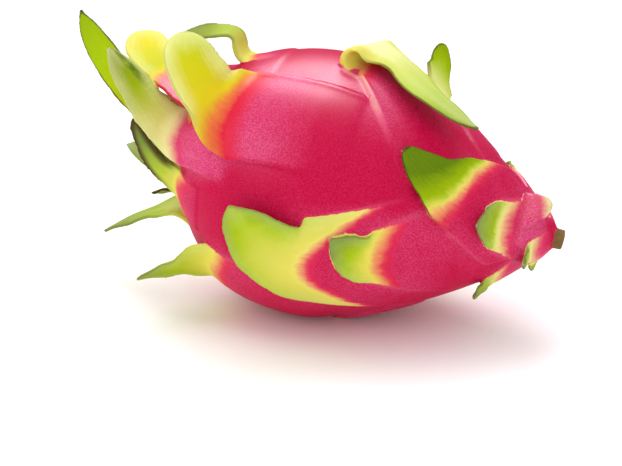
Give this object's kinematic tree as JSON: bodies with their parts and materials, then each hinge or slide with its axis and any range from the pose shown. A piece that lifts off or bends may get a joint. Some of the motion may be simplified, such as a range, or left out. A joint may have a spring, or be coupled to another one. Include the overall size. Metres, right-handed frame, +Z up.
{
  "type": "dragon fruit",
  "caption": "Whole ripe dragon fruit lying on its side: a plump body with fleshy scales that run out into free blades and a leafy tuft at the crown.",
  "frame": {"origin": "centre of the bounding box's bottom face, on the surface that the fruit lies on", "axes": "+X toward the cut stem end, -X toward the crown with its tuft, +Z up, -Y the front"},
  "size_m": [0.1762, 0.108, 0.1022],
  "materials": {
    "skin": "smooth crimson-pink rind with a soft sheen, turning yellow and green on the scales"
  },
  "bodies": {
    "root": {"dragon_fruit": "skin"}
  },
  "joints": []
}
